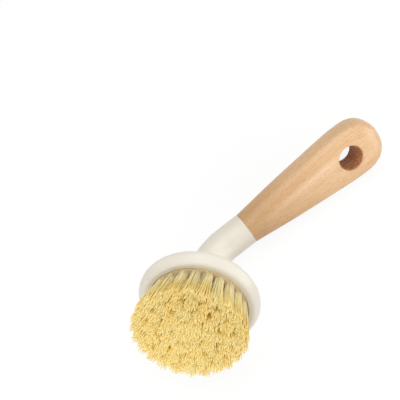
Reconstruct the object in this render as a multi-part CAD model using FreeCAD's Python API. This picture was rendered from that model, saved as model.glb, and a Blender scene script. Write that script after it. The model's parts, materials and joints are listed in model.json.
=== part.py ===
import FreeCAD, Part
import math
import os
from FreeCAD import Placement, Rotation, Vector

# A short dish brush: a beech handle with a hanging hole, a cream plastic elbow that ends
# in a round cap, and a drilled beech block full of fibre tufts that pushes into the cap.
#
# Everything is drawn in the brush's own axes and then laid on a table. In those axes the
# origin is the middle of the seam between wood and plastic, X runs along the handle to its
# hanging end, Z is the side that the bristles are on, and Y is across. Lengths are in
# millimetres and angles in degrees.

# Handle
HANDLE_LENGTH = 105.5
HANDLE_WIDTH = 37.0
HANDLE_THICKNESS = 21.4
SEAM_DIAMETER = 21.4
HANDLE_END_LENGTH = 19.5
# Where the shaft's sections stand between seam and widest place, and how far each has
# grown from the seam's round to the full width.
SHAFT_STATION_SHARES = [(0.06, 0.08), (0.14, 0.18), (0.28, 0.36), (0.42, 0.52),
                        (0.56, 0.66), (0.7, 0.8), (0.86, 0.95)]
SEAM_SQUARENESS = 2.0
END_SQUARENESS = 3.4
END_OUTLINE_SQUARENESS = 2.25
END_PROFILE_SQUARENESS = 3.2
# How far round the end's quarter turn each closing section stands.
END_TURN_SHARES = [0.18, 0.36, 0.53, 0.68, 0.81, 0.91, 0.97]
SECTION_POINTS = 32

# Hanging hole
HANG_HOLE_DIAMETER = 16.4
HANG_HOLE_FROM_END = 25.2
HANG_HOLE_ROUND = 2.0
HANG_HOLE_FLARE = 60.0

# Spigot that joins the plastic to the wood
SPIGOT_DIAMETER = 13.2
SPIGOT_LENGTH = 24.0
SPIGOT_CHAMFER = 1.0
SPIGOT_GLUE_GAP = 0.1
SPIGOT_END_GAP = 0.8
SPIGOT_CORE_DIAMETER = 7.2
SPIGOT_CORE_PAST_SEAM = 10.0

# Neck
SEAM_EDGE = 0.4
NECK_STRAIGHT = 15.0
NECK_BEND_RADIUS = 28.4
NECK_TURN = 58.4
NECK_STEM = 20.8
NECK_FLARE_RADIUS = 6.0
NECK_WALL = 3.0

# Cap
CAP_DIAMETER = 75.4
CAP_WALL_LEAN = 24.0
CAP_DEPTH = 10.6
CAP_DOME_RISE = 1.2
CAP_FLOOR = 2.6
CAP_BACK_ROUND = 4.0
LIP_WIDTH = 4.1
LIP_ROUND = 3.0
LIP_INNER_ROUND = 0.6

# Block that carries the tufts
BLOCK_CLEARANCE = 0.25
BLOCK_SEAT_GAP = 0.1
BLOCK_RECESS = 0.1
BLOCK_CHAMFER = 0.3

# Tufts
TUFT_HEIGHT = 24.5
TUFT_HOLE_DIAMETER = 4.7
TUFT_HOLE_DEPTH = 5.6
TUFT_HOLE_CLEARANCE = 0.1
TUFT_TIP_GAP = 0.35
TUFT_RING_COUNTS = [1, 5, 10, 16, 24]
TUFT_SPREAD_SHARE = 1.165
BLOCK_EDGE_MARGIN = 0.7

# Flat wire staples that hold the folded tufts in their holes
STAPLE_THICKNESS = 0.4
STAPLE_HEIGHT = 1.6
STAPLE_BITE = 0.5
STAPLE_LIFT = 0.9

# How closely the places that touch the table are found
REST_TOLERANCE = 0.02
REST_PASSES = 8

OVERRUN = 5.0

# Sizes that follow from the ones above
SEAM_RADIUS = SEAM_DIAMETER / 2
CAP_BACK_RADIUS = CAP_DIAMETER / 2
LEAN = math.radians(CAP_WALL_LEAN)
# The leaning wall runs into the round of the back, which reaches the cap's full diameter.
WALL_DEPTH = CAP_DEPTH - CAP_BACK_ROUND * (1 + math.sin(LEAN))
CAP_FRONT_RADIUS = (CAP_BACK_RADIUS - CAP_BACK_ROUND * (1 - math.cos(LEAN))
                    - WALL_DEPTH * math.tan(LEAN))
POCKET_RADIUS = CAP_FRONT_RADIUS - LIP_WIDTH
POCKET_DEPTH = CAP_DEPTH - CAP_FLOOR
BLOCK_RADIUS = POCKET_RADIUS - BLOCK_CLEARANCE
BLOCK_THICKNESS = POCKET_DEPTH - BLOCK_RECESS - BLOCK_SEAT_GAP
TUFT_HOLE_RADIUS = TUFT_HOLE_DIAMETER / 2
TUFT_RADIUS = TUFT_HOLE_RADIUS - TUFT_HOLE_CLEARANCE
OUTER_RING_RADIUS = BLOCK_RADIUS - BLOCK_EDGE_MARGIN - TUFT_HOLE_RADIUS
RING_STEP = OUTER_RING_RADIUS / (len(TUFT_RING_COUNTS) - 1)
TUFT_TIP_RADIUS = (RING_STEP * TUFT_SPREAD_SHARE - TUFT_TIP_GAP) / 2

ACROSS = Vector(0, 1, 0)
ALONG = Vector(1, 0, 0)
FRONT = Vector(0, 0, 1)
TURN = math.radians(NECK_TURN)
# The way the bristles point.
HEAD_AXIS = Vector(-math.cos(TURN), 0, math.sin(TURN))
HEAD_RADIAL = Vector(math.sin(TURN), 0, math.cos(TURN))
BEND_END = Vector(-NECK_STRAIGHT - NECK_BEND_RADIUS * math.sin(TURN), 0,
                  NECK_BEND_RADIUS * (1 - math.cos(TURN)))
CAP_FRONT = BEND_END + HEAD_AXIS * (NECK_STEM + CAP_DEPTH)


def head_point(radius, depth):
    """A point of the head's half section: out from its axis, and back from the cap's front."""
    return CAP_FRONT + HEAD_RADIAL * radius - HEAD_AXIS * depth


def line(start, end):
    return Part.LineSegment(start, end).toShape()


def arc(start, middle, end):
    return Part.Arc(start, middle, end).toShape()


def rounded(corners):
    """Edges of a closed section, from its corners and how far each of them is rounded."""
    places = []
    for i, (corner, radius) in enumerate(corners):
        to_last = (corners[i - 1][0] - corner).normalize()
        to_next = (corners[(i + 1) % len(corners)][0] - corner).normalize()
        half_angle = to_last.getAngle(to_next) / 2
        reach = radius / math.tan(half_angle)
        inset = radius / math.sin(half_angle) - radius
        inward = (to_last + to_next).normalize()
        places.append((corner + to_last * reach, corner + inward * inset, corner + to_next * reach))
    edges = []
    for i, (start, middle, end) in enumerate(places):
        if start != end:
            edges.append(arc(start, middle, end))
        edges.append(line(end, places[(i + 1) % len(places)][0]))
    return edges


def turned(edges, centre, axis):
    """Solid of revolution from a closed half section."""
    return Part.Face(Part.Wire(edges)).revolve(centre, axis, 360)


def handle_section(x, half_width, half_thickness, squareness):
    """Closed cross section of the handle: round at squareness 2, boxier above it."""
    points = []
    for i in range(SECTION_POINTS):
        turn = 2 * math.pi * i / SECTION_POINTS
        across = math.cos(turn)
        front = math.sin(turn)
        reach = (abs(across) ** squareness + abs(front) ** squareness) ** (-1 / squareness)
        points.append(Vector(x, half_width * across * reach, half_thickness * front * reach))
    curve = Part.BSplineCurve()
    curve.interpolate(Points=points, PeriodicFlag=True)
    return Part.Wire(curve.toShape())


def handle_blank():
    """Handle before drilling, from the round seam to the closed round end."""
    half_width = HANDLE_WIDTH / 2
    half_thickness = HANDLE_THICKNESS / 2
    widest = HANDLE_LENGTH - HANDLE_END_LENGTH
    sections = [handle_section(0, SEAM_RADIUS, SEAM_RADIUS, SEAM_SQUARENESS)]
    for place_share, growth_share in SHAFT_STATION_SHARES:
        sections.append(handle_section(
            widest * place_share,
            SEAM_RADIUS + (half_width - SEAM_RADIUS) * growth_share,
            SEAM_RADIUS + (half_thickness - SEAM_RADIUS) * growth_share,
            SEAM_SQUARENESS + (END_SQUARENESS - SEAM_SQUARENESS) * growth_share))
    sections.append(handle_section(widest, half_width, half_thickness, END_SQUARENESS))
    for turn_share in END_TURN_SHARES:
        reach = math.sin(turn_share * math.pi / 2)
        narrowing = (1 - reach ** END_OUTLINE_SQUARENESS) ** (1 / END_OUTLINE_SQUARENESS)
        thinning = (1 - reach ** END_PROFILE_SQUARENESS) ** (1 / END_PROFILE_SQUARENESS)
        sections.append(handle_section(
            widest + HANDLE_END_LENGTH * reach,
            half_width * narrowing,
            half_thickness * thinning,
            END_SQUARENESS))
    return Part.makeLoft(sections, True, False)


def hang_hole():
    """Cutter for the hanging hole, flared at both faces so that its edges come out rounded."""
    radius = HANG_HOLE_DIAMETER / 2
    flare = math.radians(HANG_HOLE_FLARE)
    corner = HANDLE_THICKNESS / 2 - HANG_HOLE_ROUND * math.tan(flare / 2) * math.cos(flare)
    top = corner + OVERRUN
    mouth = radius + OVERRUN * math.tan(flare)
    centre = ALONG * (HANDLE_LENGTH - HANG_HOLE_FROM_END)
    corners = [
        (centre - FRONT * top, 0),
        (centre - FRONT * top + ALONG * mouth, 0),
        (centre - FRONT * corner + ALONG * radius, HANG_HOLE_ROUND),
        (centre + FRONT * corner + ALONG * radius, HANG_HOLE_ROUND),
        (centre + FRONT * top + ALONG * mouth, 0),
        (centre + FRONT * top, 0),
    ]
    return turned(rounded(corners), centre, FRONT)


def spigot_bore():
    """Blind hole in the handle's seam end for the plastic spigot."""
    radius = SPIGOT_DIAMETER / 2 + SPIGOT_GLUE_GAP
    return Part.makeCylinder(radius, SPIGOT_LENGTH + SPIGOT_END_GAP + OVERRUN, ALONG * -OVERRUN, ALONG)


def handle():
    return handle_blank().cut([hang_hole(), spigot_bore()])


def neck_elbow():
    """Straight run from the seam, its edge broken there, and the bend after it."""
    bend_start = ALONG * -NECK_STRAIGHT
    straight = Part.makeCylinder(SEAM_RADIUS, NECK_STRAIGHT - SEAM_EDGE, bend_start, ALONG)
    edge = Part.makeCone(SEAM_RADIUS, SEAM_RADIUS - SEAM_EDGE, SEAM_EDGE, ALONG * -SEAM_EDGE, ALONG)
    ring = Part.Face(Part.Wire(Part.makeCircle(SEAM_RADIUS, bend_start, ALONG)))
    bend = ring.revolve(bend_start + FRONT * NECK_BEND_RADIUS, ACROSS, NECK_TURN)
    return straight.fuse([edge, bend])


def spigot():
    """Stub that is glued into the handle, with a chamfered nose."""
    stub = Part.makeCylinder(SPIGOT_DIAMETER / 2, SPIGOT_LENGTH - SPIGOT_CHAMFER, Vector(), ALONG)
    nose = Part.makeCone(SPIGOT_DIAMETER / 2, SPIGOT_DIAMETER / 2 - SPIGOT_CHAMFER, SPIGOT_CHAMFER,
                         ALONG * (SPIGOT_LENGTH - SPIGOT_CHAMFER), ALONG)
    return stub.fuse(nose)


def cap_and_stem():
    """Round cap with its pocket, and the straight stem and flare behind it."""
    stem_end = CAP_DEPTH + NECK_STEM
    back_corner = CAP_FRONT_RADIUS + CAP_DEPTH * math.tan(LEAN)
    corners = [
        (head_point(0, POCKET_DEPTH), 0),
        (head_point(POCKET_RADIUS, POCKET_DEPTH), 0),
        (head_point(POCKET_RADIUS, 0), LIP_INNER_ROUND),
        (head_point(CAP_FRONT_RADIUS, 0), LIP_ROUND),
        (head_point(back_corner, CAP_DEPTH), CAP_BACK_ROUND),
        (head_point(SEAM_RADIUS, CAP_DEPTH + CAP_DOME_RISE), NECK_FLARE_RADIUS),
        (head_point(SEAM_RADIUS, stem_end), 0),
        (head_point(0, stem_end), 0),
    ]
    return turned(rounded(corners), CAP_FRONT, HEAD_AXIS)


def stem_core():
    """Round-ended core that keeps the stem's wall even, drawn out through the pocket floor."""
    radius = SEAM_RADIUS - NECK_WALL
    floor = head_point(0, POCKET_DEPTH)
    length = NECK_STEM + CAP_FLOOR
    barrel = Part.makeCylinder(radius, length + OVERRUN, floor + HEAD_AXIS * OVERRUN, -HEAD_AXIS)
    return barrel.fuse(Part.makeSphere(radius, floor - HEAD_AXIS * length))


def spigot_core():
    """Core down the middle of the spigot."""
    length = SPIGOT_LENGTH + SPIGOT_CORE_PAST_SEAM
    return Part.makeCylinder(SPIGOT_CORE_DIAMETER / 2, length + OVERRUN,
                             ALONG * -SPIGOT_CORE_PAST_SEAM, ALONG)


def head_shell():
    shell = cap_and_stem().fuse([neck_elbow(), spigot()]).removeSplitter()
    return shell.cut([stem_core(), spigot_core()])


def tuft_places():
    """Name, base middle, direction and staple direction of every tuft, ring by ring."""
    places = []
    face = head_point(0, BLOCK_RECESS)
    for ring, count in enumerate(TUFT_RING_COUNTS):
        for i in range(count):
            turn = 2 * math.pi * (i + ring / 2) / count
            out = HEAD_RADIAL * math.cos(turn) + ACROSS * math.sin(turn)
            base = out * (RING_STEP * ring)
            lean = HEAD_AXIS * (TUFT_HEIGHT + BLOCK_RECESS) + base * (TUFT_SPREAD_SHARE - 1)
            name = "tuft_ring%d_%02d" % (ring, i + 1)
            places.append((name, face + base, lean, HEAD_AXIS.cross(out)))
    return places


def tuft_hole(base, lean):
    way = Vector(lean).normalize()
    bottom = base - way * TUFT_HOLE_DEPTH
    return Part.makeCylinder(TUFT_HOLE_RADIUS, TUFT_HOLE_DEPTH + OVERRUN, bottom, way)


def tuft(base, lean, staple):
    """Bundle of fibres as one flared solid, trimmed level at the tips and slit for its staple."""
    way = Vector(lean).normalize()
    bottom = base - way * (TUFT_HOLE_DEPTH - TUFT_HOLE_CLEARANCE)
    root = Part.makeCylinder(TUFT_RADIUS, TUFT_HOLE_DEPTH - TUFT_HOLE_CLEARANCE, bottom, way)
    stretch = 1 + OVERRUN / lean.Length
    tip_radius = TUFT_RADIUS + (TUFT_TIP_RADIUS - TUFT_RADIUS) * stretch
    flare = Part.makeCone(TUFT_RADIUS, tip_radius, lean.Length * stretch, base, way)
    above = Part.makeCylinder(CAP_BACK_RADIUS + TUFT_HEIGHT, TUFT_HEIGHT,
                              head_point(0, -TUFT_HEIGHT), HEAD_AXIS)
    return root.fuse(flare).removeSplitter().cut([above, staple])


def staple(base, lean, across):
    """Flat wire across the fold of one tuft, its two ends bitten into the wood."""
    way = Vector(lean).normalize()
    width = TUFT_HOLE_DIAMETER + 2 * STAPLE_BITE
    side = across.cross(way)
    corner = (base - way * (TUFT_HOLE_DEPTH - STAPLE_LIFT)
              - across * (width / 2) - side * (STAPLE_THICKNESS / 2))
    plate = Part.makeBox(width, STAPLE_THICKNESS, STAPLE_HEIGHT)
    plate.Placement = Placement(corner, Rotation(across, side, way, "XYZ"))
    return plate


def brush_block(cutters):
    """Disc that carries the tufts, with a chamfered front edge and its drilled holes."""
    back = head_point(0, BLOCK_RECESS + BLOCK_THICKNESS)
    shank = Part.makeCylinder(BLOCK_RADIUS, BLOCK_THICKNESS - BLOCK_CHAMFER, back, HEAD_AXIS)
    edge = Part.makeCone(BLOCK_RADIUS, BLOCK_RADIUS - BLOCK_CHAMFER, BLOCK_CHAMFER,
                         back + HEAD_AXIS * (BLOCK_THICKNESS - BLOCK_CHAMFER), HEAD_AXIS)
    return shank.fuse(edge).removeSplitter().cut(cutters)


def all_nodes():
    """Every piece by its node name, in the brush's own axes."""
    nodes = {"handle": handle(), "head_shell": head_shell()}
    staples = []
    holes = []
    for name, base, lean, across in tuft_places():
        wire = staple(base, lean, across)
        staples.append(wire)
        holes.append(tuft_hole(base, lean))
        nodes[name] = tuft(base, lean, wire)
    nodes["brush_block"] = brush_block(holes + staples)
    nodes["staples"] = Part.makeCompound(staples)
    return nodes


def rest_turn(wood):
    """Turn that lays the brush on its side, on handle, elbow and cap rim, with X along the handle."""
    clouds = [piece.tessellate(REST_TOLERANCE)[0] for piece in (wood, neck_elbow(), cap_and_stem())]
    up = (ACROSS + FRONT).normalize()
    for _ in range(REST_PASSES):
        on_handle, on_elbow, on_cap = [min(cloud, key=up.dot) for cloud in clouds]
        up = (on_cap - on_elbow).cross(on_handle - on_elbow).normalize()
    along = (ALONG - up * ALONG.dot(up)).normalize()
    return Rotation(along, up.cross(along), up, "XYZ").inverted()


def laid_on_table(nodes):
    """The same pieces, lying on the table with the middle of the brush's footprint at the origin."""
    turn = rest_turn(nodes["handle"])
    box = Part.makeCompound(list(nodes.values()))
    box.Placement = Placement(Vector(), turn)
    extent = box.optimalBoundingBox(False, False)
    middle = Vector(extent.Center.x, extent.Center.y, extent.ZMin)
    laid = {}
    for name, shape in nodes.items():
        laid[name] = shape.transformed(Placement(-middle, turn).toMatrix())
    return laid


def main():
    os.makedirs("parts", exist_ok=True)
    for name, shape in laid_on_table(all_nodes()).items():
        shape.exportStep("parts/%s.step" % name)


main()
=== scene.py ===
import json
import math

import bpy
from bpy.props import FloatProperty, FloatVectorProperty, IntProperty, PointerProperty
from mathutils import Color, Matrix, Vector


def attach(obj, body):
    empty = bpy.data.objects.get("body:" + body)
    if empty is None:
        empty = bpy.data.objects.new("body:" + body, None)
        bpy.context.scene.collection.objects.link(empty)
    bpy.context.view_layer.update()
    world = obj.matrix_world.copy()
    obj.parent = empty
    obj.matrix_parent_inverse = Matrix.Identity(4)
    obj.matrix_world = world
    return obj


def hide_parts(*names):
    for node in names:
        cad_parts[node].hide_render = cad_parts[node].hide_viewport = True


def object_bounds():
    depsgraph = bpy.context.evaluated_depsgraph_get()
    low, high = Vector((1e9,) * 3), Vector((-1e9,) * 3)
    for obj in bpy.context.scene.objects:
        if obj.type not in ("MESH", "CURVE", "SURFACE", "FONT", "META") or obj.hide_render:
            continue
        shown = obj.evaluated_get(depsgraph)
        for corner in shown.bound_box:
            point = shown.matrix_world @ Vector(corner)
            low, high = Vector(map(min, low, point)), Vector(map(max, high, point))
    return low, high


bl_info = {
    "name": "Dish Brush",
    "version": (1, 0, 0),
    "blender": (4, 5, 0),
    "location": "View3D > Sidebar > Dish Brush",
    "description": "Dresses a dish brush: beech handle, cream cap, drilled block and fibre tufts",
    "category": "Object",
}

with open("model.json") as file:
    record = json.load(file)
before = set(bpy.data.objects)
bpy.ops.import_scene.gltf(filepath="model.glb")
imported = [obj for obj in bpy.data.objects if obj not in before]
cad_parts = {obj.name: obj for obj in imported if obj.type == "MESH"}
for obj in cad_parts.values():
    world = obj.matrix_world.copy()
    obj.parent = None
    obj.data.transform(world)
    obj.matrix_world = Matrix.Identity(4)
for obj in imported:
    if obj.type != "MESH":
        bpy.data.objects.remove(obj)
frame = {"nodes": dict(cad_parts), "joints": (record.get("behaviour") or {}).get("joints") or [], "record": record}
CAD_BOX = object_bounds()

HANG_HOLE = frame["record"]["mounts"][0]
HEAD_SLIDE = frame["joints"][0]
TUFT_PREFIX = "tuft_ring"
MILLIMETRE = 0.001


# Properties that a user would change

def colour(name, description, red, green, blue):
    """Colour property from the 0 to 255 values of a screen colour."""
    screen = Color((red / 255, green / 255, blue / 255))
    return FloatVectorProperty(name=name, description=description, subtype="COLOR", min=0, max=1,
                               default=screen.from_srgb_to_scene_linear())


def length(name, description, millimetres):
    """Length property, which Blender keeps in metres."""
    return FloatProperty(name=name, description=description, default=millimetres * MILLIMETRE,
                         min=0, precision=5, subtype="DISTANCE", unit="LENGTH")


def share(name, description, default):
    """Property from none at 0 to all at 1."""
    return FloatProperty(name=name, description=description, default=default,
                         min=0, max=1, subtype="FACTOR")


def ratio(name, description, default):
    """Property without a unit, which may be more than 1."""
    return FloatProperty(name=name, description=description, default=default, min=0)


def power(name, description, watts):
    """Property for the power of a lamp."""
    return FloatProperty(name=name, description=description, default=watts, min=0,
                         subtype="POWER", unit="POWER")


def count(name, description, default):
    """Whole number property."""
    return IntProperty(name=name, description=description, default=default, min=0)


def place(name, description, x, y, z):
    """Property for a place, in metres."""
    return FloatVectorProperty(name=name, description=description, default=(x, y, z),
                               subtype="TRANSLATION", unit="LENGTH")


class HandleSettings(bpy.types.PropertyGroup):
    """Colours and grain of the beech handle."""

    wood: colour("Wood", "Pale beech between the growth layers", 232, 192, 148)
    layer: colour("Layer", "Darker growth layers", 224, 182, 135)
    streak: colour("Streak", "Fine lines along the grain", 208, 163, 115)
    fleck: colour("Fleck", "Short flecks of beech", 172, 120, 74)
    # End grain of the hole's wall, darkened further with painted shade for the hollow of the hole
    end_grain_and_shade: colour("End Grain", "Wood inside the hanging hole", 214, 152, 102)
    end_pores_and_shade: colour("End Pores", "Dark pores inside the hanging hole", 140, 90, 56)
    # Painted shade: a tint that darkens the wood towards the seam
    seam_painted_shade: colour("Seam Tone", "Tint that deepens the wood towards the seam", 232, 223, 206)
    layer_length: length("Layer Length", "How far a growth layer runs along the handle", 90)
    layer_width: length("Layer Width", "How wide a growth layer is", 8)
    streak_length: length("Streak Length", "How far a fine line runs along the handle", 12)
    streak_width: length("Streak Width", "How wide a fine line is", 0.7)
    streak_strength: share("Streak Strength", "How strongly the fine lines show", 0.6)
    fleck_length: length("Fleck Length", "How long a fleck is", 2.4)
    fleck_width: length("Fleck Width", "How wide a fleck is", 0.34)
    fleck_strength: share("Fleck Strength", "How strongly the flecks show", 0.4)
    grain_depth: length("Grain Depth", "How deep the flecks lie in the wood", 0.03)
    wax: share("Wax", "Strength of the waxed shine outside the hanging hole", 0.6)
    # How far from the seam the painted shade reaches
    seam_shade_fade: length("Seam Fade", "How far from the seam the deeper tint ends", 62)
    hole_blend: length("Hole Blend", "How far the end grain's colour fades out past the hole", 0.4)


class ShellSettings(bpy.types.PropertyGroup):
    """Colours and finish of the plastic neck and cap."""

    plastic: colour("Plastic", "Cream plastic", 240, 234, 220)
    shade: colour("Shade", "Slightly deeper cream where the moulding flowed", 236, 228, 212)
    mottle: length("Mottle", "Size of the faint cloudiness in the plastic", 25)
    texture: length("Texture", "Size of the fine moulded texture", 0.35)
    texture_depth: length("Texture Depth", "How deep the fine moulded texture is", 0.008)


class BlockSettings(bpy.types.PropertyGroup):
    """Colours of the drilled block and of its staples."""

    wood: colour("Wood", "Raw beech of the block", 248, 224, 186)
    streak: colour("Streak", "Fine lines in the block", 236, 204, 160)
    wire: colour("Wire", "Steel of the staples", 176, 174, 170)
    streak_length: length("Streak Length", "How far a fine line runs", 12)
    streak_width: length("Streak Width", "Width of a fine line, and of a scratch on the wire", 0.7)
    grain_depth: length("Grain Depth", "How deep the raw grain is", 0.05)


class TuftSettings(bpy.types.PropertyGroup):
    """Fibres of the tufts."""

    fibres: count("Fibres", "Fibre ends in one tuft", 160)
    root_diameter: length("Root Diameter", "Thickness of a fibre in its hole", 0.42)
    tip_diameter: length("Tip Diameter", "Thickness of a fibre at its tip", 0.38)
    depth: length("Depth", "How far down its hole a drawn fibre starts", 2)
    stray: length("Stray", "How far a tip strays from its place", 0.84)
    bow: length("Bow", "How far a fibre bows between root and tip", 0.4)
    clump: length("Clump", "Width of the patches of like-coloured fibres", 2.4)
    ragged: share("Ragged", "How much shorter than the longest a fibre may be", 0.25)
    flare: ratio("Flare", "How late the tufts open out", 1.1)
    spread: ratio("Spread", "Width of the tips against the tuft's solid", 1.03)
    lean: FloatVectorProperty(name="Lean", size=2, subtype="TRANSLATION", unit="LENGTH",
                              description="How far all tips lean, along the handle and across it",
                              default=(-0.0016, 0.001))
    seed: count("Seed", "Start of every random draw", 9)
    dark: colour("Dark", "Deepest fibres", 247, 207, 96)
    golden: colour("Golden", "Golden fibres", 253, 228, 135)
    pale: colour("Pale", "Palest fibres", 255, 244, 190)
    # Paler roots: partly the fibres' own colour, partly painted light that lifts the shade among the roots
    root: colour("Root", "Paler colour of the fibres near the block", 255, 245, 204)


class StageSettings(bpy.types.PropertyGroup):
    """Camera, floor and light. Places are in the brush's own axes."""

    camera: place("Camera", "Where the camera stands", -0.04733, 0.32658, 0.5583)
    aim: FloatVectorProperty(name="Aim", description="How the camera is turned",
                             subtype="EULER", unit="ROTATION",
                             default=[math.radians(turn) for turn in (-20.897, -18.411, -33.02)])
    lens: FloatProperty(name="Lens", description="Focal length in millimetres", default=90,
                        subtype="DISTANCE_CAMERA", unit="CAMERA")
    floor: colour("Floor", "Pale floor", 198, 198, 198)
    floor_radius: length("Floor Radius", "How far the floor reaches", 4000)
    floor_shadow: share("Floor Shadow", "How much of the shadow the floor shows to the camera", 0.2)
    white: ratio("White", "Brightness of the white that the camera sees", 1.12)
    sky: ratio("Sky", "Strength of the light from all round", 0.33)
    key: power("Key", "Power of the main lamp", 2.3)
    key_size: length("Key Size", "Width of the main lamp", 700)
    key_place: place("Key Place", "Where the main lamp stands", 0.06, 0.52, 0.28)
    fill: power("Fill", "Power of the lamp before the tufts", 1.4)
    fill_size: length("Fill Size", "Width of the lamp before the tufts", 350)
    fill_place: place("Fill Place", "Where the lamp before the tufts stands", -0.45, -0.03, 0.4)
    front: power("Front", "Power of the lamp before the handle", 0.22)
    front_size: length("Front Size", "Width of the lamp before the handle", 80)
    front_place: place("Front Place", "Where the lamp before the handle stands",
                       0.116, -0.166, 0.42)
    end: power("End", "Power of the lamp by the hanging end", 0.65)
    end_size: length("End Size", "Width of the lamp by the hanging end", 300)
    end_place: place("End Place", "Where the lamp by the hanging end stands", 0.36, -0.1, 0.2)


SETTINGS = {
    "dish_brush_handle": HandleSettings,
    "dish_brush_shell": ShellSettings,
    "dish_brush_block": BlockSettings,
    "dish_brush_tufts": TuftSettings,
    "dish_brush_stage": StageSettings,
}


# The brush's own axes and the lines of its tufts, worked out from the frame

# How near to an end of a tuft's solid a corner counts as that end's, as a share of its height:
# for the end's middle, and for its radius
TUFT_END_SHARE = 0.025
TUFT_RIM_SHARE = 0.1


def brush_axes():
    """Origin in the seam of wood and plastic, X along the handle, Z out of its front."""
    front = Vector(HANG_HOLE["axis"])
    head = Vector(HEAD_SLIDE["axis"])
    along = (front * head.dot(front) - head).normalized()
    hole = Vector(HANG_HOLE["pos_m"])
    seam = min(along.dot(corner.co - hole) for corner in frame["nodes"]["handle"].data.vertices)
    axes = Matrix((along, front.cross(along), front)).transposed().to_4x4()
    axes.translation = hole + along * seam
    return axes


def side_axes():
    """Directions square to the head's slide: in the plane that halves the brush, and across."""
    head = Vector(HEAD_SLIDE["axis"])
    across = head.cross(Vector(HANG_HOLE["axis"])).normalized()
    return across.cross(head), across


def tuft_rings():
    """Names of the tufts' nodes, ring by ring."""
    rings = {}
    for node in sorted(frame["nodes"]):
        if node.startswith(TUFT_PREFIX):
            rings.setdefault(node.rsplit("_", 1)[0], []).append(node)
    return rings


def tuft_line(node):
    """Middle of a tuft's root at the bottom of its hole, and middle of its tip."""
    head = Vector(HEAD_SLIDE["axis"])
    corners = [corner.co for corner in frame["nodes"][node].data.vertices]
    heights = [head.dot(corner) for corner in corners]
    close = (max(heights) - min(heights)) * TUFT_END_SHARE
    ends = []
    for end in (min(heights), max(heights)):
        ring = [corner for corner, height in zip(corners, heights) if abs(height - end) < close]
        ends.append(sum(ring, Vector()) / len(ring))
    return ends


def tuft_radii(node):
    """Radius of a tuft's solid in its hole and at its tip."""
    bottom, tip = tuft_line(node)
    height = (tip - bottom).length
    way = (tip - bottom).normalized()
    close = height * TUFT_RIM_SHARE
    root_radius = tip_radius = 0.0
    for corner in frame["nodes"][node].data.vertices:
        up = way.dot(corner.co - bottom)
        out = (corner.co - bottom - way * up).length
        if abs(up) < close:
            root_radius = max(root_radius, out)
        elif abs(up - height) < close:
            tip_radius = max(tip_radius, out)
    return root_radius, tip_radius


# Node building

# Sockets that share their name with others on the same node, so they go by number:
# a Mix node's for colours, and a Random Value node's for plain numbers
MIX_FACTOR, MIX_FIRST, MIX_SECOND, MIX_RESULT = 0, 6, 7, 2
RANDOM_LOW, RANDOM_HIGH, RANDOM_RESULT = 2, 3, 1

# Detail of a cloudy pattern
PLAIN, SOFT, FINE = 1, 2, 3


def add_node(tree, kind, inputs=None, **settings):
    """New node with its settings. Inputs map sockets to plain values or to other outputs."""
    node = tree.nodes.new(kind)
    for name, value in settings.items():
        setattr(node, name, value)
    for socket, value in (inputs or {}).items():
        if isinstance(value, bpy.types.NodeSocket):
            tree.links.new(value, node.inputs[socket])
        else:
            node.inputs[socket].default_value = value
    return node


def maths(tree, operation, *values):
    """Result of one operation on numbers."""
    return add_node(tree, "ShaderNodeMath", dict(enumerate(values)), operation=operation).outputs[0]


def vectors(tree, operation, *values):
    """Result of one operation on vectors."""
    inputs = dict(enumerate(values))
    return add_node(tree, "ShaderNodeVectorMath", inputs, operation=operation).outputs[0]


def scaled(tree, vector, factor):
    """Vector times a number."""
    inputs = {"Vector": vector, "Scale": factor}
    return add_node(tree, "ShaderNodeVectorMath", inputs, operation="SCALE").outputs[0]


def between(tree, value, low, high, start=0.0, end=1.0):
    """Value drawn out from low and high to start and end, and held there."""
    inputs = {"Value": value, "From Min": low, "From Max": high, "To Min": start, "To Max": end}
    return add_node(tree, "ShaderNodeMapRange", inputs).outputs[0]


def mixed(tree, factor, first, second, blend="MIX"):
    """Mix of two colours, each a setting or another output."""
    inputs = {MIX_FACTOR: factor}
    for socket, value in ((MIX_FIRST, first), (MIX_SECOND, second)):
        inputs[socket] = value if isinstance(value, bpy.types.NodeSocket) else (*value, 1)
    mix = add_node(tree, "ShaderNodeMix", inputs, data_type="RGBA", blend_type=blend)
    return mix.outputs[MIX_RESULT]


def clouds(tree, where, size, detail):
    """Cloudy pattern whose clouds have that size along each axis of where."""
    spread = vectors(tree, "DIVIDE", where, size)
    inputs = {"Vector": spread, "Scale": 1.0, "Detail": detail}
    return add_node(tree, "ShaderNodeTexNoise", inputs).outputs["Fac"]


def even_clouds(tree, size, detail):
    """Cloudy pattern of one size every way, fixed to the piece."""
    where = add_node(tree, "ShaderNodeTexCoord").outputs["Object"]
    return clouds(tree, where, [size] * 3, detail)


def grain(tree, where, along, width, detail):
    """Cloudy pattern drawn out along the first axis of where, as wood grain is."""
    return clouds(tree, where, (along, width, width), detail)


def where_in(tree, axes):
    """Coordinates in the given axes, in metres."""
    where = add_node(tree, "ShaderNodeTexCoord").outputs["Object"]
    inputs = {"Vector": where, "Location": axes.to_translation(), "Rotation": axes.to_euler()}
    return add_node(tree, "ShaderNodeMapping", inputs, vector_type="TEXTURE").outputs[0]


# Materials

# Where a cloudy pattern starts to show, and where it shows in full
MIDDLE_EDGES = (0.3, 0.7)
LAYER_EDGES = (0.35, 0.7)
STREAK_EDGES = (0.45, 0.8)
FLECK_EDGES = (0.58, 0.68)
PORE_EDGES = (0.4, 0.66)
MOTTLE_EDGES = (0.35, 0.7)
RAW_STREAK_EDGES = (0.4, 0.75)

# Roughness of each finish, at its smoothest and at its roughest
WAXED_ROUGHNESS = (0.48, 0.6)
SATIN_ROUGHNESS = (0.36, 0.46)
RAW_ROUGHNESS = (0.65, 0.8)
WIRE_ROUGHNESS = (0.25, 0.45)

# Height of the handle's fine lines against the depth of its flecks
STREAK_RELIEF = 0.5
# Brightness of the scratches against the rest of the wire
SCRATCH_TONE = 0.8

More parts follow.
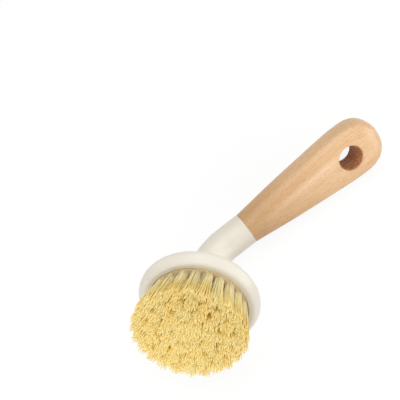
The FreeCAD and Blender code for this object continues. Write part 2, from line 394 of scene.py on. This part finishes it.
# Shade of the golden fibres, between the dark ones at 0 and the pale ones at 1
GOLDEN_SHADE = 0.5
# How much of its own colour the palest fibre keeps at its root
ROOT_OWN_COLOUR = 0.35
# Along a fibre, 0 at its root and 1 at its tip: where the root's paler colour, partly painted light, fades out,
# and where the pale cut end comes in, with how strongly it shows
ROOT_FADE = (0.25, 0.85)
CUT_END = (0.88, 1)
CUT_END_STRENGTH = 0.6

WHITE = (1, 1, 1, 1)


def new_material(name, **shine):
    """Material with only its shader, whose even values are set on its sockets."""
    material = bpy.data.materials.new(name)
    material.use_nodes = True
    tree = material.node_tree
    shader = tree.nodes["Principled BSDF"]
    for socket, value in shine.items():
        shader.inputs[socket.replace("_", " ")].default_value = value
    return material, tree, shader


def link_roughness(tree, shader, pattern, roughness):
    """Lets a cloudy pattern vary the shine between two roughnesses."""
    varied = between(tree, pattern, *MIDDLE_EDGES, *roughness)
    tree.links.new(varied, shader.inputs["Roughness"])


def link_bump(tree, shader, height, depth):
    """Lets a pattern stand out of the surface by that depth."""
    inputs = {"Height": height, "Distance": depth, "Strength": 1.0}
    tree.links.new(add_node(tree, "ShaderNodeBump", inputs).outputs[0], shader.inputs["Normal"])


def hole_mask(tree, where, axes, blend):
    """1 in the hanging hole and on its wall, and 0 from the blend's width outwards."""
    hole = axes.inverted() @ Vector(HANG_HOLE["pos_m"])
    radius = HANG_HOLE["dims"]["r_mm"] * MILLIMETRE
    from_hole = vectors(tree, "MULTIPLY", vectors(tree, "SUBTRACT", where, hole), (1, 1, 0))
    distance = add_node(tree, "ShaderNodeVectorMath", {0: from_hole}, operation="LENGTH")
    return between(tree, distance.outputs["Value"], radius, radius + blend, 1, 0)


def beech_material(settings):
    """Waxed beech: soft growth layers, fine lines and short flecks along the handle, with painted shade towards
    the seam and darker end grain with painted shade in the hanging hole.
    """
    material, tree, shader = new_material("beech", Specular_IOR_Level=0.2, Coat_Roughness=0.26)
    axes = brush_axes()
    where = where_in(tree, axes)
    layers = grain(tree, where, settings.layer_length, settings.layer_width, SOFT)
    streaks = grain(tree, where, settings.streak_length, settings.streak_width, FINE)
    flecks = grain(tree, where, settings.fleck_length, settings.fleck_width, PLAIN)
    fleck_mask = between(tree, flecks, *FLECK_EDGES)
    wood = mixed(tree, between(tree, layers, *LAYER_EDGES), settings.wood, settings.layer)
    streaked = between(tree, streaks, *STREAK_EDGES, 0, settings.streak_strength)
    wood = mixed(tree, streaked, wood, settings.streak)
    flecked = maths(tree, "MULTIPLY", fleck_mask, settings.fleck_strength)
    wood = mixed(tree, flecked, wood, settings.fleck)
    # Painted shade: the wood is darkened towards the seam, where less light falls
    from_seam = add_node(tree, "ShaderNodeSeparateXYZ", {"Vector": where}).outputs["X"]
    painted_seam_shade = between(tree, from_seam, 0, settings.seam_shade_fade, 1, 0)
    wood = mixed(tree, painted_seam_shade, wood, settings.seam_painted_shade, "MULTIPLY")
    # Inside the hanging hole: darker end grain and pores, partly their own colour and partly painted shade of the
    # hole's hollow
    pores = between(tree, streaks, *PORE_EDGES)
    end_grain_and_shade = mixed(tree, pores, settings.end_grain_and_shade, settings.end_pores_and_shade)
    in_hole = hole_mask(tree, where, axes, settings.hole_blend)
    tree.links.new(mixed(tree, in_hole, wood, end_grain_and_shade), shader.inputs["Base Color"])
    tree.links.new(between(tree, in_hole, 0, 1, settings.wax, 0), shader.inputs["Coat Weight"])
    link_roughness(tree, shader, streaks, WAXED_ROUGHNESS)
    ridges = maths(tree, "MULTIPLY", streaks, STREAK_RELIEF)
    link_bump(tree, shader, maths(tree, "SUBTRACT", ridges, fleck_mask), settings.grain_depth)
    return material


def plastic_material(settings):
    """Satin cream plastic with a faint moulded texture."""
    material, tree, shader = new_material("cream_plastic", IOR=1.47)
    mottle = even_clouds(tree, settings.mottle, FINE)
    texture = even_clouds(tree, settings.texture, SOFT)
    cream = mixed(tree, between(tree, mottle, *MOTTLE_EDGES), settings.plastic, settings.shade)
    tree.links.new(cream, shader.inputs["Base Color"])
    link_roughness(tree, shader, mottle, SATIN_ROUGHNESS)
    link_bump(tree, shader, texture, settings.texture_depth)
    return material


def block_material(settings):
    """Raw, unfinished beech."""
    material, tree, shader = new_material("raw_beech")
    where = where_in(tree, brush_axes())
    streaks = grain(tree, where, settings.streak_length, settings.streak_width, FINE)
    wood = mixed(tree, between(tree, streaks, *RAW_STREAK_EDGES), settings.wood, settings.streak)
    tree.links.new(wood, shader.inputs["Base Color"])
    link_roughness(tree, shader, streaks, RAW_ROUGHNESS)
    link_bump(tree, shader, streaks, settings.grain_depth)
    return material


def wire_material(settings):
    """Drawn steel wire."""
    material, tree, shader = new_material("staple_wire", Metallic=1.0)
    scratches = even_clouds(tree, settings.streak_width, FINE)
    steel = mixed(tree, scratches, settings.wire, Color(settings.wire) * SCRATCH_TONE)
    tree.links.new(steel, shader.inputs["Base Color"])
    link_roughness(tree, shader, scratches, WIRE_ROUGHNESS)
    return material


def fibre_material(settings):
    """Plant fibre: every fibre has its own shade, paler towards its root, partly as painted light on the shaded
    roots.
    """
    material, tree, shader = new_material("plant_fibre", Roughness=0.5)
    shade = add_node(tree, "ShaderNodeAttribute", attribute_name="shade").outputs["Fac"]
    along = add_node(tree, "ShaderNodeAttribute", attribute_name="along").outputs["Fac"]
    deep = mixed(tree, between(tree, shade, 0, GOLDEN_SHADE), settings.dark, settings.golden)
    tip = mixed(tree, between(tree, shade, GOLDEN_SHADE, 1), deep, settings.pale)
    # Paler near the block: partly the fibre's own colour, partly painted light that lifts the shade among the
    # roots
    root = mixed(tree, between(tree, shade, 0, 1, 0, ROOT_OWN_COLOUR), settings.root, tip)
    fibre = mixed(tree, between(tree, along, *ROOT_FADE), root, tip)
    cut_end = between(tree, along, *CUT_END, 0, CUT_END_STRENGTH)
    tree.links.new(mixed(tree, cut_end, fibre, settings.pale), shader.inputs["Base Color"])
    return material


def unlit_to_camera(tree, lit, white):
    """Lets the camera, gloss and clear pieces see the white side, and everything else the lit."""
    path = add_node(tree, "ShaderNodeLightPath").outputs
    seen = maths(tree, "MAXIMUM", path["Is Camera Ray"], path["Is Glossy Ray"])
    seen = maths(tree, "MAXIMUM", seen, path["Is Transmission Ray"])
    return add_node(tree, "ShaderNodeMixShader", {0: seen, 1: lit, 2: white}).outputs[0]


def floor_material(settings):
    """Pale floor that shows white, with a soft trace of the brush's shadow."""
    material = bpy.data.materials.new("floor")
    material.use_nodes = True
    tree = material.node_tree
    tree.nodes.clear()
    lit = add_node(tree, "ShaderNodeBsdfDiffuse", {"Color": (*settings.floor, 1)}).outputs[0]
    white = add_node(tree, "ShaderNodeEmission", {"Strength": settings.white}).outputs[0]
    trace = {0: settings.floor_shadow, 1: white, 2: lit}
    traced = add_node(tree, "ShaderNodeMixShader", trace).outputs[0]
    add_node(tree, "ShaderNodeOutputMaterial", {"Surface": unlit_to_camera(tree, lit, traced)})
    return material


def paint(node, material):
    """Gives a node of the frame its material."""
    slots = frame["nodes"][node].material_slots
    for slot in slots:
        slot.material = material
    if not slots:
        frame["nodes"][node].data.materials.append(material)


# Tufts

FIBRE_INPUTS = (
    ("Fibres", "NodeSocketInt"),
    ("Root Radius", "NodeSocketFloat"),
    ("Tip Radius", "NodeSocketFloat"),
    ("Root Spread", "NodeSocketFloat"),
    ("Tip Spread", "NodeSocketFloat"),
    ("Stray", "NodeSocketFloat"),
    ("Lean", "NodeSocketVector"),
    ("Bow", "NodeSocketFloat"),
    ("Clump", "NodeSocketFloat"),
    ("Ragged", "NodeSocketFloat"),
    ("Flare", "NodeSocketFloat"),
    ("Seed", "NodeSocketInt"),
    ("Side", "NodeSocketVector"),
    ("Across", "NodeSocketVector"),
    ("Material", "NodeSocketMaterial"),
)
# Attributes that only the tree needs, and that it takes off the finished fibres
TREE_ATTRIBUTES = ("root", "start", "end", "bow", "trim", "opening", "reach", "tuft")
# Sides round a fibre, and steps along it
FIBRE_SIDES = 5
FIBRE_STEPS = 3

# Turn from one fibre of a tuft to the next, which spreads them evenly over the hole
GOLDEN_TURN = math.pi * (3 - math.sqrt(5))
# A fibre stands in the middle of its own share of the hole
SHARE_MIDDLE = 0.5

# What each random draw adds to the seed, and each ring of tufts
(FIRST_TURN_DRAW, LOOSE_DRAW, STRAY_SIDE_DRAW, STRAY_ACROSS_DRAW, BOW_SIDE_DRAW, BOW_ACROSS_DRAW,
 TRIM_DRAW, TUFT_SHADE_DRAW, OWN_SHADE_DRAW, OPENING_DRAW) = range(1, 11)
RING_SEED_STEP = 100

# Above 1, so that most fibres are nearly as long as the longest
TRIM_POWER = 2
# How much earlier or later than the flare says a fibre opens out
OPENING_RANGE = (0.6, 1.4)
# Parts of a fibre's shade: of its whole tuft, its own, and the most that a patch adds
TUFT_SHADE_RANGE = (-0.15, 0.15)
OWN_SHADE_RANGE = (0.1, 0.4)
PATCH_SHADE = 0.5
# Makes along * (1 - along) reach 1 half way up a fibre
BOW_SCALE = 4


def named(tree, name, data_type):
    """Value of a stored attribute."""
    inputs = {"Name": name}
    return add_node(tree, "GeometryNodeInputNamedAttribute", inputs, data_type=data_type).outputs[0]


def stored(tree, geometry, name, data_type, value):
    """Geometry with one more attribute."""
    inputs = {"Geometry": geometry, "Name": name, "Value": value}
    return add_node(tree, "GeometryNodeStoreNamedAttribute", inputs, data_type=data_type).outputs[0]


def drawn(tree, given, step, low, high, who=None):
    """Random number of one fibre, or of whatever who counts."""
    inputs = {RANDOM_LOW: low, RANDOM_HIGH: high, "Seed": maths(tree, "ADD", given["Seed"], step)}
    if who is not None:
        inputs["ID"] = who
    draw = add_node(tree, "FunctionNodeRandomValue", inputs, data_type="FLOAT")
    return draw.outputs[RANDOM_RESULT]


def flat_vector(tree, given, first, second):
    """Vector square to the head's slide, from its parts on the two side axes."""
    along_side = scaled(tree, given["Side"], first)
    return vectors(tree, "ADD", along_side, scaled(tree, given["Across"], second))


def drawn_vector(tree, given, first_step, second_step):
    """Random vector square to the head's slide, with parts from -1 to 1."""
    first = drawn(tree, given, first_step, -1, 1)
    return flat_vector(tree, given, first, drawn(tree, given, second_step, -1, 1))


def fibre_spot(tree, given, fibre, tuft):
    """Where a fibre stands in its tuft, as if the tuft's radius were 1."""
    middle = maths(tree, "ADD", fibre, SHARE_MIDDLE)
    reach = maths(tree, "SQRT", maths(tree, "DIVIDE", middle, given["Fibres"]))
    first_turn = drawn(tree, given, FIRST_TURN_DRAW, 0, 2 * math.pi, tuft)
    turn = maths(tree, "MULTIPLY_ADD", fibre, GOLDEN_TURN, first_turn)
    way = flat_vector(tree, given, maths(tree, "COSINE", turn), maths(tree, "SINE", turn))
    return scaled(tree, way, reach)


def fibre_shade(tree, given, ending, tuft):
    """Shade of a fibre: of the patch that it ends in, of its tuft and its own."""
    patches = clouds(tree, ending, given["Clump"], SOFT)
    patch_shade = between(tree, patches, *MIDDLE_EDGES, 0, PATCH_SHADE)
    tuft_shade = drawn(tree, given, TUFT_SHADE_DRAW, *TUFT_SHADE_RANGE, tuft)
    own_shade = drawn(tree, given, OWN_SHADE_DRAW, *OWN_SHADE_RANGE)
    return maths(tree, "ADD", patch_shade, maths(tree, "ADD", own_shade, tuft_shade))


def fibre_points(tree, given):
    """One point for every fibre, which holds where it starts, ends and bows, and its shade."""
    copies = add_node(tree, "GeometryNodeDuplicateElements",
                      {"Geometry": given["Tufts"], "Amount": given["Fibres"]}, domain="POINT")
    points, fibre = copies.outputs
    tuft = named(tree, "tuft", "INT")
    root = add_node(tree, "GeometryNodeInputPosition").outputs[0]
    spot = fibre_spot(tree, given, fibre, tuft)
    loose = maths(tree, "MULTIPLY", given["Stray"], drawn(tree, given, LOOSE_DRAW, 0, 1))
    strayed = scaled(tree, drawn_vector(tree, given, STRAY_SIDE_DRAW, STRAY_ACROSS_DRAW), loose)
    ending = vectors(tree, "ADD", scaled(tree, spot, given["Tip Spread"]), strayed)
    ending = vectors(tree, "ADD", ending, given["Lean"])
    bowed = drawn_vector(tree, given, BOW_SIDE_DRAW, BOW_ACROSS_DRAW)
    shorter = maths(tree, "POWER", drawn(tree, given, TRIM_DRAW, 0, 1), TRIM_POWER)
    cut_off = maths(tree, "MULTIPLY", given["Ragged"], shorter)
    own_opening = drawn(tree, given, OPENING_DRAW, *OPENING_RANGE)
    shade = fibre_shade(tree, given, vectors(tree, "ADD", root, ending), tuft)
    attributes = (
        ("root", "FLOAT_VECTOR", root),
        ("start", "FLOAT_VECTOR", scaled(tree, spot, given["Root Spread"])),
        ("end", "FLOAT_VECTOR", ending),
        ("bow", "FLOAT_VECTOR", scaled(tree, bowed, given["Bow"])),
        ("trim", "FLOAT", maths(tree, "SUBTRACT", 1, cut_off)),
        ("opening", "FLOAT", maths(tree, "MULTIPLY", given["Flare"], own_opening)),
        ("shade", "FLOAT", shade),
    )
    for name, data_type, value in attributes:
        points = stored(tree, points, name, data_type, value)
    return points


def one_fibre(tree, given):
    """Upright tapered fibre, a metre tall, which its own reach shortens later."""
    inputs = {"Vertices": FIBRE_SIDES, "Side Segments": FIBRE_STEPS, "Depth": 1.0,
              "Radius Top": given["Tip Radius"], "Radius Bottom": given["Root Radius"]}
    cone = add_node(tree, "GeometryNodeMeshCone", inputs).outputs
    smooth = {"Geometry": cone["Mesh"], "Selection": cone["Side"], "Shade Smooth": True}
    return add_node(tree, "GeometryNodeSetShadeSmooth", smooth).outputs[0]


def bent_place(tree, given):
    """Where a point of the upright fibre goes on the real one, and how far along that is."""
    root = named(tree, "root", "FLOAT_VECTOR")
    straight = add_node(tree, "GeometryNodeInputPosition").outputs[0]
    upright = vectors(tree, "SUBTRACT", straight, root)
    x, y, along = add_node(tree, "ShaderNodeSeparateXYZ", {"Vector": upright}).outputs
    risen = maths(tree, "MULTIPLY", along, named(tree, "trim", "FLOAT"))
    opened = maths(tree, "POWER", along, named(tree, "opening", "FLOAT"))
    hump = maths(tree, "MULTIPLY", along, maths(tree, "SUBTRACT", 1, along))
    parts = (
        scaled(tree, named(tree, "reach", "FLOAT_VECTOR"), risen),
        flat_vector(tree, given, x, y),
        scaled(tree, named(tree, "start", "FLOAT_VECTOR"), maths(tree, "SUBTRACT", 1, opened)),
        scaled(tree, named(tree, "end", "FLOAT_VECTOR"), opened),
        scaled(tree, named(tree, "bow", "FLOAT_VECTOR"), maths(tree, "MULTIPLY", hump, BOW_SCALE)),
    )
    bent = root
    for part in parts:
        bent = vectors(tree, "ADD", bent, part)
    return bent, along


def fibre_tree():
    """Geometry nodes that grow a bundle of fibres on every point that they are given."""
    tree = bpy.data.node_groups.new("fibre_tufts", "GeometryNodeTree")
    tree.interface.new_socket("Tufts", in_out="INPUT", socket_type="NodeSocketGeometry")
    for name, kind in FIBRE_INPUTS:
        tree.interface.new_socket(name, in_out="INPUT", socket_type=kind)
    tree.interface.new_socket("Tufts", in_out="OUTPUT", socket_type="NodeSocketGeometry")
    given = tree.nodes.new("NodeGroupInput").outputs
    grown = add_node(tree, "GeometryNodeInstanceOnPoints",
                     {"Points": fibre_points(tree, given), "Instance": one_fibre(tree, given)})
    real = add_node(tree, "GeometryNodeRealizeInstances", {"Geometry": grown.outputs[0]})
    bent, along = bent_place(tree, given)
    fibres = stored(tree, real.outputs[0], "along", "FLOAT", along)
    moved = {"Geometry": fibres, "Position": bent}
    fibres = add_node(tree, "GeometryNodeSetPosition", moved).outputs[0]
    for name in TREE_ATTRIBUTES:
        bared = {"Geometry": fibres, "Name": name}
        fibres = add_node(tree, "GeometryNodeRemoveAttribute", bared).outputs[0]
    coated = {"Geometry": fibres, "Material": given["Material"]}
    fibres = add_node(tree, "GeometryNodeSetMaterial", coated).outputs[0]
    add_node(tree, "NodeGroupOutput", {0: fibres})
    return tree


def tuft_points(name, nodes, settings):
    """Object with one bare point for each tuft, which holds the tuft's reach and number."""
    head = Vector(HEAD_SLIDE["axis"])
    block = frame["nodes"]["brush_block"].data
    block_front = max(head.dot(corner.co) for corner in block.vertices)
    roots = []
    reaches = []
    for node in nodes:
        bottom, tip = tuft_line(node)
        way = (tip - bottom).normalized()
        to_front = (block_front - head.dot(bottom)) / head.dot(way)
        root = bottom + way * (to_front - settings.depth)
        roots.append(root)
        reaches.extend(tip - root)
    mesh = bpy.data.meshes.new(name)
    mesh.from_pydata(roots, [], [])
    mesh.attributes.new("reach", "FLOAT_VECTOR", "POINT")
    mesh.attributes["reach"].data.foreach_set("vector", reaches)
    mesh.attributes.new("tuft", "INT", "POINT")
    mesh.attributes["tuft"].data.foreach_set("value", list(range(len(nodes))))
    points = bpy.data.objects.new(name, mesh)
    bpy.context.scene.collection.objects.link(points)
    return points


def grow(points, tree, values):
    """Runs the tree on the points with these inputs, and keeps the result as a plain mesh."""
    modifier = points.modifiers.new("Fibres", "NODES")
    modifier.node_group = tree
    for socket in tree.interface.items_tree:
        if socket.in_out == "INPUT" and socket.name in values:
            modifier[socket.identifier] = values[socket.name]
    evaluated = points.evaluated_get(bpy.context.evaluated_depsgraph_get())
    mesh = bpy.data.meshes.new_from_object(evaluated)
    bare = points.data
    points.modifiers.remove(modifier)
    points.data = mesh
    bpy.data.meshes.remove(bare)
    mesh.name = points.name


# Operators

class DISH_BRUSH_OT_handle(bpy.types.Operator):
    """Gives the handle its beech"""

    bl_idname = "dish_brush.handle"
    bl_label = "Handle"

    def execute(self, context):
        paint("handle", beech_material(context.scene.dish_brush_handle))
        return {"FINISHED"}


class DISH_BRUSH_OT_shell(bpy.types.Operator):
    """Gives the neck and cap their cream plastic"""

    bl_idname = "dish_brush.shell"
    bl_label = "Neck and Cap"

    def execute(self, context):
        paint("head_shell", plastic_material(context.scene.dish_brush_shell))
        return {"FINISHED"}


class DISH_BRUSH_OT_block(bpy.types.Operator):
    """Gives the drilled block its raw wood and the staples their steel"""

    bl_idname = "dish_brush.block"
    bl_label = "Block and Staples"

    def execute(self, context):
        settings = context.scene.dish_brush_block
        paint("brush_block", block_material(settings))
        paint("staples", wire_material(settings))
        return {"FINISHED"}


class DISH_BRUSH_OT_tufts(bpy.types.Operator):
    """Grows the fibres of the tufts, ring by ring"""

    bl_idname = "dish_brush.tufts"
    bl_label = "Tufts"

    def execute(self, context):
        settings = context.scene.dish_brush_tufts
        side, across = side_axes()
        tree = fibre_tree()
        material = fibre_material(settings)
        for ring, (name, nodes) in enumerate(tuft_rings().items()):
            root_radius, tip_radius = tuft_radii(nodes[0])
            points = tuft_points(name.replace("tuft", "tufts"), nodes, settings)
            grow(points, tree, {
                "Fibres": settings.fibres,
                "Root Radius": settings.root_diameter / 2,
                "Tip Radius": settings.tip_diameter / 2,
                "Root Spread": root_radius - settings.root_diameter / 2,
                "Tip Spread": tip_radius * settings.spread,
                "Stray": settings.stray,
                "Lean": side * settings.lean[0] + across * settings.lean[1],
                "Bow": settings.bow,
                "Clump": settings.clump,
                "Ragged": settings.ragged,
                "Flare": settings.flare,
                "Seed": settings.seed + RING_SEED_STEP * ring,
                "Side": side,
                "Across": across,
                "Material": material,
            })
            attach(points, "push_in_head")
            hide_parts(*nodes)
        return {"FINISHED"}


class DISH_BRUSH_OT_stage(bpy.types.Operator):
    """Sets up the floor, the light and the camera"""

    bl_idname = "dish_brush.stage"
    bl_label = "Stage"

    LAMPS = ("key", "fill", "front", "end")

    def execute(self, context):
        settings = context.scene.dish_brush_stage
        self.floor(context, settings)
        for name in self.LAMPS:
            self.lamp(context, settings, name)
        self.sky(context, settings)
        self.camera(context, settings)
        context.scene.view_settings.view_transform = "Standard"
        return {"FINISHED"}

    def floor(self, context, settings):
        """Square floor at the height of the brush's lowest point."""
        reach = settings.floor_radius
        height = CAD_BOX[0].z
        corners = [(-reach, -reach, height), (reach, -reach, height), (reach, reach, height),
                   (-reach, reach, height)]
        mesh = bpy.data.meshes.new("floor")
        mesh.from_pydata(corners, [], [(0, 1, 2, 3)])
        mesh.materials.append(floor_material(settings))
        floor = bpy.data.objects.new("floor", mesh)
        context.scene.collection.objects.link(floor)

    def lamp(self, context, settings, name):
        """Round lamp that points at the origin, below the middle of the brush."""
        data = bpy.data.lights.new(name, "AREA")
        data.shape = "DISK"
        data.size = getattr(settings, name + "_size")
        data.energy = getattr(settings, name)
        lamp = bpy.data.objects.new(name, data)
        lamp.location = brush_axes() @ getattr(settings, name + "_place")
        lamp.rotation_euler = (-lamp.location).to_track_quat("-Z", "Y").to_euler()
        context.scene.collection.objects.link(lamp)

    def sky(self, context, settings):
        """Even light from all round, which the camera sees as white."""
        world = bpy.data.worlds.new("studio")
        context.scene.world = world
        world.use_nodes = True
        tree = world.node_tree
        tree.nodes.clear()
        backgrounds = []
        for strength in (settings.sky, settings.white):
            inputs = {"Color": WHITE, "Strength": strength}
            backgrounds.append(add_node(tree, "ShaderNodeBackground", inputs).outputs[0])
        add_node(tree, "ShaderNodeOutputWorld", {"Surface": unlit_to_camera(tree, *backgrounds)})

    def camera(self, context, settings):
        """Camera that faces the tufts and the front of the handle."""
        data = bpy.data.cameras.new("camera")
        data.lens = settings.lens
        camera = bpy.data.objects.new("camera", data)
        camera.matrix_world = brush_axes() @ Matrix.LocRotScale(settings.camera, settings.aim, None)
        context.scene.collection.objects.link(camera)
        context.scene.camera = camera


OPERATORS = (DISH_BRUSH_OT_handle, DISH_BRUSH_OT_shell, DISH_BRUSH_OT_block, DISH_BRUSH_OT_tufts,
             DISH_BRUSH_OT_stage)


class DISH_BRUSH_PT_panel(bpy.types.Panel):
    """Buttons and settings of the dish brush"""

    bl_idname = "DISH_BRUSH_PT_panel"
    bl_label = "Dish Brush"
    bl_space_type = "VIEW_3D"
    bl_region_type = "UI"
    bl_category = "Dish Brush"

    def draw(self, context):
        for operator, group in zip(OPERATORS, SETTINGS):
            box = self.layout.box()
            box.operator(operator.bl_idname)
            settings = getattr(context.scene, group)
            for name in settings.__annotations__:
                box.prop(settings, name)


CLASSES = (*SETTINGS.values(), *OPERATORS, DISH_BRUSH_PT_panel)


def register():
    for item in CLASSES:
        bpy.utils.register_class(item)
    for name, group in SETTINGS.items():
        setattr(bpy.types.Scene, name, PointerProperty(type=group))


def unregister():
    for name in SETTINGS:
        delattr(bpy.types.Scene, name)
    for item in reversed(CLASSES):
        bpy.utils.unregister_class(item)


def main():
    register()
    bpy.ops.dish_brush.handle()
    bpy.ops.dish_brush.shell()
    bpy.ops.dish_brush.block()
    bpy.ops.dish_brush.tufts()
    bpy.ops.dish_brush.stage()


if __name__ == "__main__":
    main()
